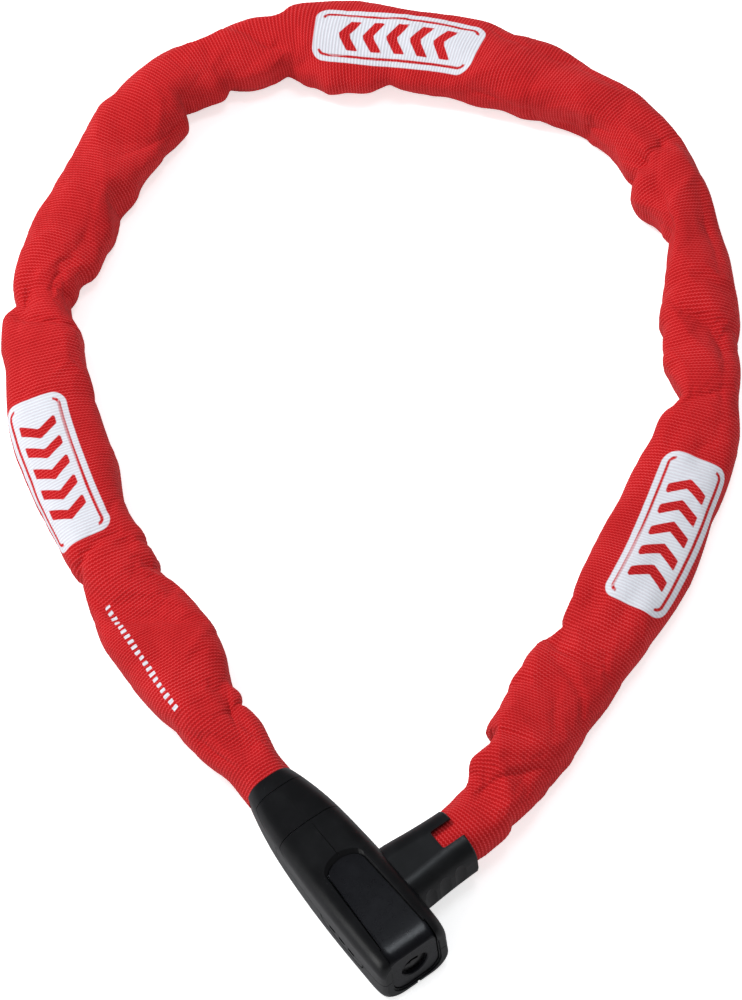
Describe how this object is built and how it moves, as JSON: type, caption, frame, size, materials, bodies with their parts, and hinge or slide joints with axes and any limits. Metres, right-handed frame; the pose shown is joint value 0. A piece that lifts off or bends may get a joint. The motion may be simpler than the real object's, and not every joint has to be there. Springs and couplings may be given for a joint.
{
  "type": "chain lock",
  "caption": "Security chain in a red textile sleeve, closed into a loop by a tapered black lock body with a keyed end and a slotted plug that pulls out of its side.",
  "frame": {"origin": "on the plane the lock rests on, below the crossing of the lock body's long axis and the plug's axis", "axes": "+X along the lock body towards the key end, +Y the way the plug withdraws from the body's side, +Z out of the body's front face"},
  "size_m": [0.3486, 0.275, 0.0255],
  "materials": {
    "sleeve_textile": "woven red textile with plain white printed patches",
    "black_plastic": "satin moulded black",
    "chain_steel": "zinc plated, welded",
    "case_steel": "machined, hardened",
    "pin_steel": "hardened and nickel plated",
    "cylinder_brass": "machined brass",
    "spring_steel": "spring wire"
  },
  "bodies": {
    "lock_body": {"rear_shell": "black_plastic", "neck_cap": "black_plastic", "front_cover": "black_plastic", "front_panel": "black_plastic", "housing_screws": "pin_steel", "steel_case": "case_steel", "neck_pin": "pin_steel", "cylinder_body": "cylinder_brass", "driver_pins": "cylinder_brass", "pin_springs": "spring_steel", "latch_spring": "spring_steel"},
    "cylinder_core": {"cylinder_plug": "cylinder_brass", "key_pins": "cylinder_brass", "cylinder_clip": "spring_steel", "cam_drum": "pin_steel"},
    "latch_body": {"latch": "pin_steel"},
    "plug": {"plug_pin": "pin_steel", "ferrule": "black_plastic", "ferrule_pin": "pin_steel"},
    "links_01_02": {"link_01": "chain_steel", "link_02": "chain_steel", "sleeve_01": "sleeve_textile"},
    "links_03_04": {"link_03": "chain_steel", "link_04": "chain_steel", "sleeve_02": "sleeve_textile"},
    "links_05_06": {"link_05": "chain_steel", "link_06": "chain_steel", "sleeve_03": "sleeve_textile"},
    "links_07_08": {"link_07": "chain_steel", "link_08": "chain_steel", "sleeve_04": "sleeve_textile"},
    "links_09_10": {"link_09": "chain_steel", "link_10": "chain_steel", "sleeve_05": "sleeve_textile"},
    "links_11_12": {"link_11": "chain_steel", "link_12": "chain_steel", "sleeve_06": "sleeve_textile"},
    "link_13": {"link_13": "chain_steel"},
    "links_24_25": {"link_24": "chain_steel", "link_25": "chain_steel", "sleeve_12": "sleeve_textile"},
    "links_22_23": {"link_22": "chain_steel", "link_23": "chain_steel", "sleeve_11": "sleeve_textile"},
    "links_20_21": {"link_20": "chain_steel", "link_21": "chain_steel", "sleeve_10": "sleeve_textile"},
    "links_18_19": {"link_18": "chain_steel", "link_19": "chain_steel", "sleeve_09": "sleeve_textile"},
    "links_16_17": {"link_16": "chain_steel", "link_17": "chain_steel", "sleeve_08": "sleeve_textile"},
    "links_14_15": {"link_14": "chain_steel", "link_15": "chain_steel", "sleeve_07": "sleeve_textile"}
  },
  "joints": [
    {"name": "plug_withdraw", "type": "slide", "parent": "lock_body", "child": "plug", "axis": [0, 1, 0], "range_m": [0, 0.036]},
    {"name": "chain_joint_01", "type": "hinge", "parent": "lock_body", "child": "links_01_02", "pos_m": [-0.045, 0, 0.0125], "axis": [0, 0, 1], "range_deg": [-2.88, 0]},
    {"name": "chain_joint_03", "type": "hinge", "parent": "links_01_02", "child": "links_03_04", "pos_m": [-0.10993, 0.00281, 0.00932], "axis": [0, 0, 1], "range_deg": [-4.48, 0]},
    {"name": "chain_joint_05", "type": "hinge", "parent": "links_03_04", "child": "links_05_06", "pos_m": [-0.17442, 0.0114, 0.009], "axis": [0, 0, 1], "range_deg": [0, 2.03]},
    {"name": "chain_joint_07", "type": "hinge", "parent": "links_05_06", "child": "links_07_08", "pos_m": [-0.2355, 0.03351, 0.009], "axis": [0, 0, 1], "range_deg": [0, 3.36]},
    {"name": "chain_joint_09", "type": "hinge", "parent": "links_07_08", "child": "links_09_10", "pos_m": [-0.28167, 0.07793, 0.009], "axis": [0, 0, 1], "range_deg": [0, 2.88]},
    {"name": "chain_joint_11", "type": "hinge", "parent": "links_09_10", "child": "links_11_12", "pos_m": [-0.30733, 0.13736, 0.009], "axis": [0, 0, 1], "range_deg": [0, 1.98]},
    {"name": "chain_joint_13", "type": "hinge", "parent": "links_11_12", "child": "link_13", "pos_m": [-0.28314, 0.19613, 0.009], "axis": [0, 0, 1], "range_deg": [0, 0.8735]},
    {"name": "chain_joint_26", "type": "hinge", "parent": "plug", "child": "links_24_25", "pos_m": [0, 0.027, 0.0125], "axis": [0, 0, 1], "range_deg": [-3.73, 0]},
    {"name": "chain_joint_24", "type": "hinge", "parent": "links_24_25", "child": "links_22_23", "pos_m": [-0.02118, 0.08804, 0.0093], "axis": [0, 0, 1], "range_deg": [0, 2.63]},
    {"name": "chain_joint_22", "type": "hinge", "parent": "links_22_23", "child": "links_20_21", "pos_m": [-0.04784, 0.14739, 0.009], "axis": [0, 0, 1], "range_deg": [0, 3.87]},
    {"name": "chain_joint_20", "type": "hinge", "parent": "links_20_21", "child": "links_18_19", "pos_m": [-0.08494, 0.20084, 0.009], "axis": [0, 0, 1], "range_deg": [0, 3.4]},
    {"name": "chain_joint_18", "type": "hinge", "parent": "links_18_19", "child": "links_16_17", "pos_m": [-0.13834, 0.23807, 0.009], "axis": [0, 0, 1], "range_deg": [-0.714, 0]},
    {"name": "chain_joint_16", "type": "hinge", "parent": "links_16_17", "child": "links_14_15", "pos_m": [-0.20196, 0.24814, 0.009], "axis": [0, 0, 1], "range_deg": [-1.71, 0]},
    {"name": "latch_slide", "type": "slide", "parent": "lock_body", "child": "latch_body", "axis": [1, 0, 0], "range_m": [-0.0034, 0], "deforming": ["latch_spring"]},
    {"name": "cylinder_turn", "type": "hinge", "parent": "lock_body", "child": "cylinder_core", "pos_m": [0.0195, 0, 0.0125], "axis": [1, 0, 0], "range_deg": [-90.01, 0]}
  ],
  "couplings": [
    {"joint": "chain_joint_01", "follows": "plug_withdraw", "rad_per_m": -1.3713},
    {"joint": "chain_joint_03", "follows": "plug_withdraw", "rad_per_m": -2.1301},
    {"joint": "chain_joint_05", "follows": "plug_withdraw", "rad_per_m": 0.96519},
    {"joint": "chain_joint_07", "follows": "plug_withdraw", "rad_per_m": 1.5983},
    {"joint": "chain_joint_09", "follows": "plug_withdraw", "rad_per_m": 1.3666},
    {"joint": "chain_joint_11", "follows": "plug_withdraw", "rad_per_m": 0.93887},
    {"joint": "chain_joint_13", "follows": "plug_withdraw", "rad_per_m": 0.41518},
    {"joint": "chain_joint_26", "follows": "plug_withdraw", "rad_per_m": -1.7711},
    {"joint": "chain_joint_24", "follows": "plug_withdraw", "rad_per_m": 1.2488},
    {"joint": "chain_joint_22", "follows": "plug_withdraw", "rad_per_m": 1.8408},
    {"joint": "chain_joint_20", "follows": "plug_withdraw", "rad_per_m": 1.618},
    {"joint": "chain_joint_18", "follows": "plug_withdraw", "rad_per_m": -0.33937},
    {"joint": "chain_joint_16", "follows": "plug_withdraw", "rad_per_m": -0.81428},
    {"joint": "cylinder_turn", "follows": "latch_slide", "rad_per_m": 462}
  ]
}
